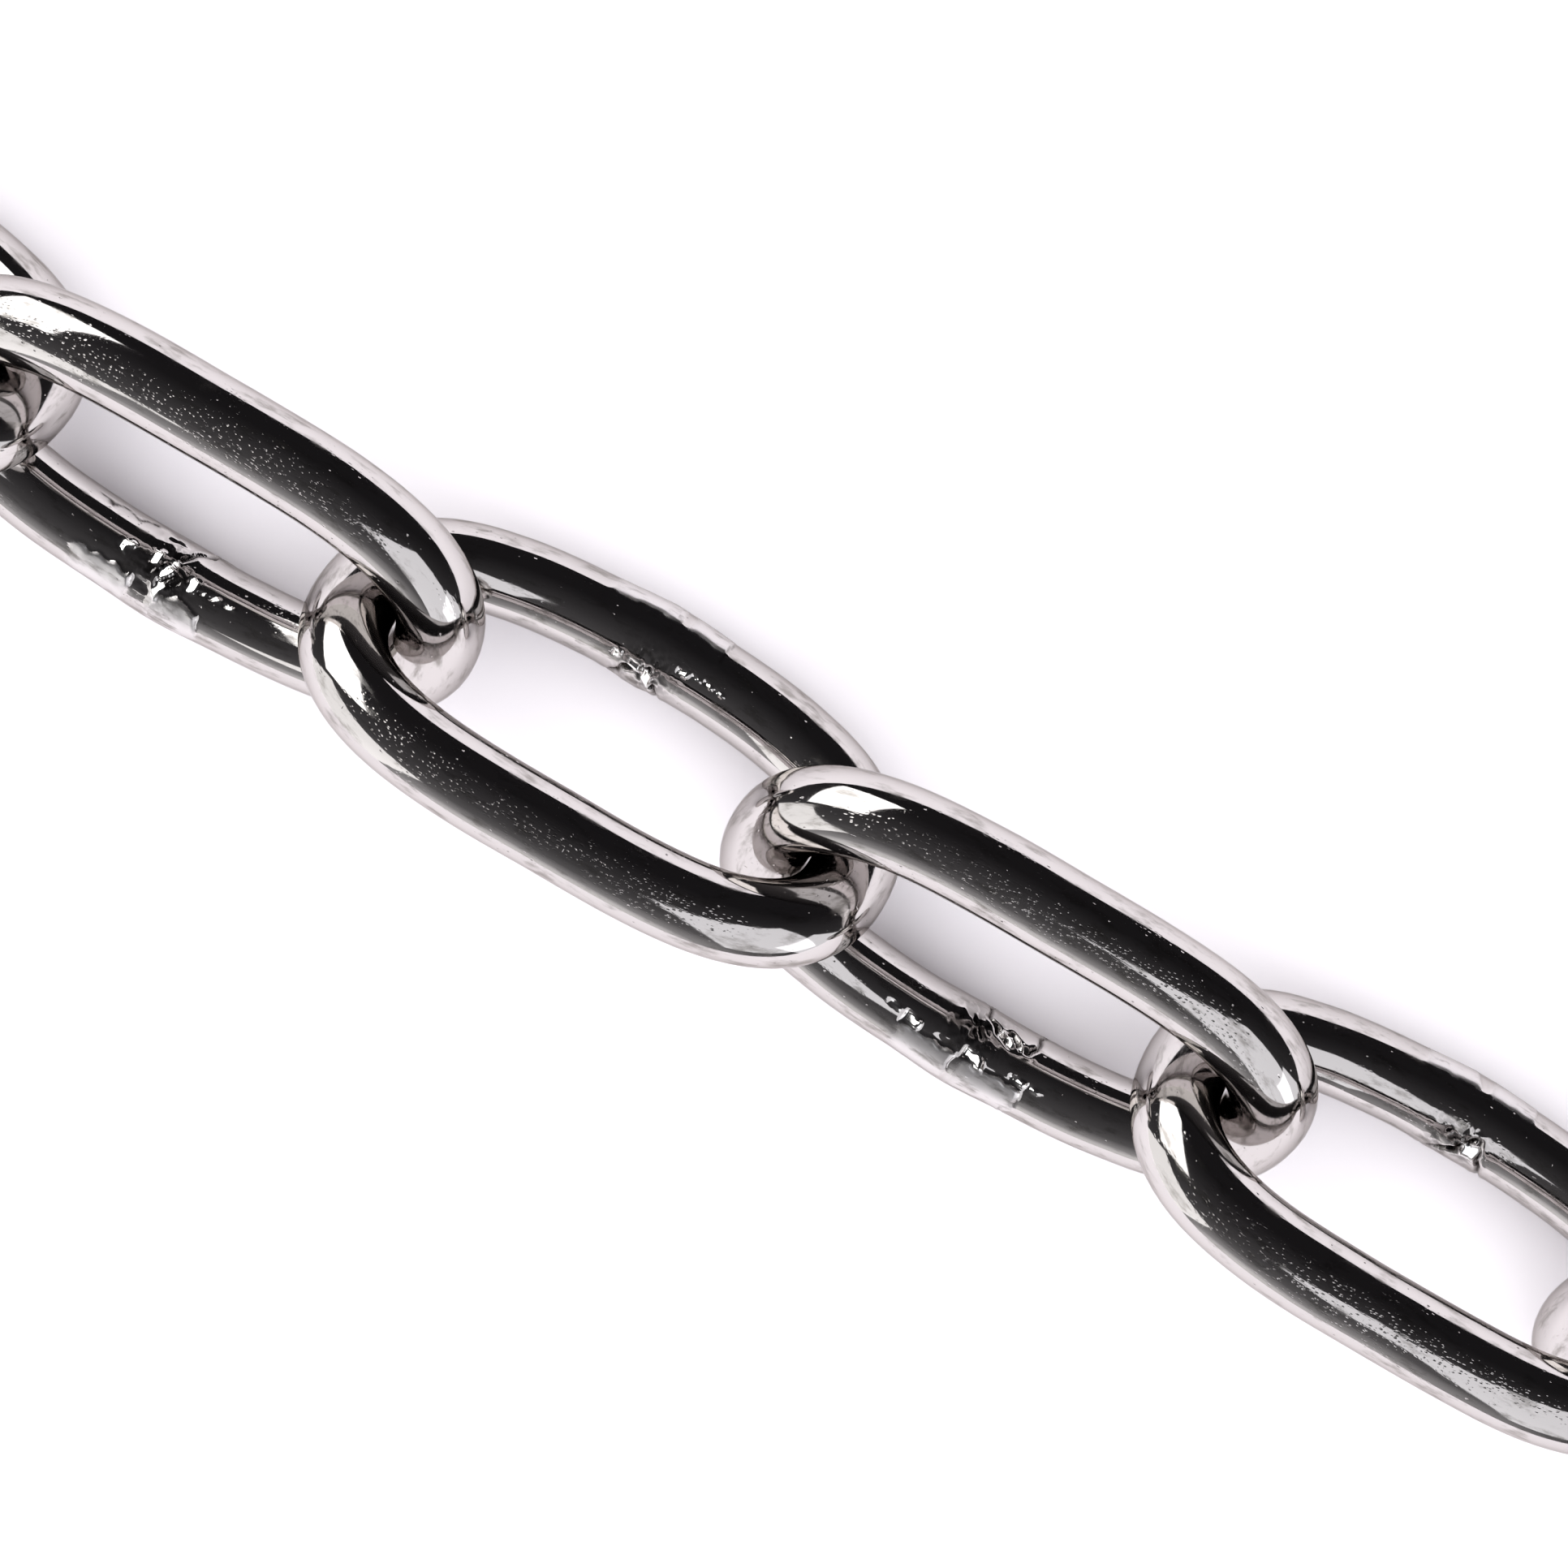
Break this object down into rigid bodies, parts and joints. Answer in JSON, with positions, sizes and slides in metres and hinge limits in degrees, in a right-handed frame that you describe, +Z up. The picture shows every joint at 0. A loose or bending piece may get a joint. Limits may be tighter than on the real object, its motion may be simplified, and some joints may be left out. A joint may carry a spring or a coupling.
{
  "type": "welded steel link chain",
  "caption": "Straight length of bright-plated steel chain: long oval links of round wire, each butt-welded in one leg and leaning to either side in turn.",
  "frame": {"origin": "middle of the chain's length, on the floor that it lies on", "axes": "+X along the chain, +Y across it, +Z up from the floor"},
  "size_m": [0.9966, 0.0262, 0.0252],
  "materials": {
    "plated_steel": "bright nickel plating over drawn wire, with drawing streaks, pits and weld flash"
  },
  "bodies": {
    "link_01": {"link_01": "plated_steel"},
    "link_02": {"link_02": "plated_steel"},
    "link_03": {"link_03": "plated_steel"},
    "link_04": {"link_04": "plated_steel"},
    "link_05": {"link_05": "plated_steel"},
    "link_06": {"link_06": "plated_steel"},
    "link_07": {"link_07": "plated_steel"},
    "link_08": {"link_08": "plated_steel"},
    "link_09": {"link_09": "plated_steel"},
    "link_10": {"link_10": "plated_steel"},
    "link_11": {"link_11": "plated_steel"},
    "link_12": {"link_12": "plated_steel"},
    "link_13": {"link_13": "plated_steel"},
    "link_14": {"link_14": "plated_steel"},
    "link_15": {"link_15": "plated_steel"},
    "link_16": {"link_16": "plated_steel"},
    "link_17": {"link_17": "plated_steel"},
    "link_18": {"link_18": "plated_steel"},
    "link_19": {"link_19": "plated_steel"},
    "link_20": {"link_20": "plated_steel"},
    "link_21": {"link_21": "plated_steel"},
    "link_22": {"link_22": "plated_steel"},
    "link_23": {"link_23": "plated_steel"}
  },
  "joints": [
    {"name": "swing_02", "type": "hinge", "parent": "link_01", "child": "link_02", "pos_m": [-0.44301, 0, 0.01307], "axis": [0, 0.7071, 0.7071], "range_deg": [-120, 120]},
    {"name": "swing_03", "type": "hinge", "parent": "link_02", "child": "link_03", "pos_m": [-0.40041, 0, 0.01307], "axis": [0, -0.7071, 0.7071], "range_deg": [-120, 120]},
    {"name": "swing_04", "type": "hinge", "parent": "link_03", "child": "link_04", "pos_m": [-0.35781, 0, 0.01307], "axis": [0, -0.7071, -0.7071], "range_deg": [-120, 120]},
    {"name": "swing_05", "type": "hinge", "parent": "link_04", "child": "link_05", "pos_m": [-0.31521, 0, 0.01307], "axis": [0, 0.7071, -0.7071], "range_deg": [-120, 120]},
    {"name": "swing_06", "type": "hinge", "parent": "link_05", "child": "link_06", "pos_m": [-0.27261, 0, 0.01307], "axis": [0, 0.7071, 0.7071], "range_deg": [-120, 120]},
    {"name": "swing_07", "type": "hinge", "parent": "link_06", "child": "link_07", "pos_m": [-0.23001, 0, 0.01307], "axis": [0, -0.7071, 0.7071], "range_deg": [-120, 120]},
    {"name": "swing_08", "type": "hinge", "parent": "link_07", "child": "link_08", "pos_m": [-0.18741, 0, 0.01307], "axis": [0, -0.7071, -0.7071], "range_deg": [-120, 120]},
    {"name": "swing_09", "type": "hinge", "parent": "link_08", "child": "link_09", "pos_m": [-0.14481, 0, 0.01307], "axis": [0, 0.7071, -0.7071], "range_deg": [-120, 120]},
    {"name": "swing_10", "type": "hinge", "parent": "link_09", "child": "link_10", "pos_m": [-0.10221, 0, 0.01307], "axis": [0, 0.7071, 0.7071], "range_deg": [-120, 120]},
    {"name": "swing_11", "type": "hinge", "parent": "link_10", "child": "link_11", "pos_m": [-0.05961, 0, 0.01307], "axis": [0, -0.7071, 0.7071], "range_deg": [-120, 120]},
    {"name": "swing_12", "type": "hinge", "parent": "link_11", "child": "link_12", "pos_m": [-0.01701, 0, 0.01307], "axis": [0, -0.7071, -0.7071], "range_deg": [-120, 120]},
    {"name": "swing_13", "type": "hinge", "parent": "link_12", "child": "link_13", "pos_m": [0.02559, 0, 0.01307], "axis": [0, 0.7071, -0.7071], "range_deg": [-120, 120]},
    {"name": "swing_14", "type": "hinge", "parent": "link_13", "child": "link_14", "pos_m": [0.06819, 0, 0.01307], "axis": [0, 0.7071, 0.7071], "range_deg": [-120, 120]},
    {"name": "swing_15", "type": "hinge", "parent": "link_14", "child": "link_15", "pos_m": [0.11079, 0, 0.01307], "axis": [0, -0.7071, 0.7071], "range_deg": [-120, 120]},
    {"name": "swing_16", "type": "hinge", "parent": "link_15", "child": "link_16", "pos_m": [0.15339, 0, 0.01307], "axis": [0, -0.7071, -0.7071], "range_deg": [-120, 120]},
    {"name": "swing_17", "type": "hinge", "parent": "link_16", "child": "link_17", "pos_m": [0.19599, 0, 0.01307], "axis": [0, 0.7071, -0.7071], "range_deg": [-120, 120]},
    {"name": "swing_18", "type": "hinge", "parent": "link_17", "child": "link_18", "pos_m": [0.23859, 0, 0.01307], "axis": [0, 0.7071, 0.7071], "range_deg": [-120, 120]},
    {"name": "swing_19", "type": "hinge", "parent": "link_18", "child": "link_19", "pos_m": [0.28119, 0, 0.01307], "axis": [0, -0.7071, 0.7071], "range_deg": [-120, 120]},
    {"name": "swing_20", "type": "hinge", "parent": "link_19", "child": "link_20", "pos_m": [0.32379, 0, 0.01307], "axis": [0, -0.7071, -0.7071], "range_deg": [-120, 120]},
    {"name": "swing_21", "type": "hinge", "parent": "link_20", "child": "link_21", "pos_m": [0.36639, 0, 0.01307], "axis": [0, 0.7071, -0.7071], "range_deg": [-120, 120]},
    {"name": "swing_22", "type": "hinge", "parent": "link_21", "child": "link_22", "pos_m": [0.40899, 0, 0.01307], "axis": [0, 0.7071, 0.7071], "range_deg": [-120, 120]},
    {"name": "swing_23", "type": "hinge", "parent": "link_22", "child": "link_23", "pos_m": [0.45159, 0, 0.01307], "axis": [0, -0.7071, 0.7071], "range_deg": [-120, 120]}
  ]
}
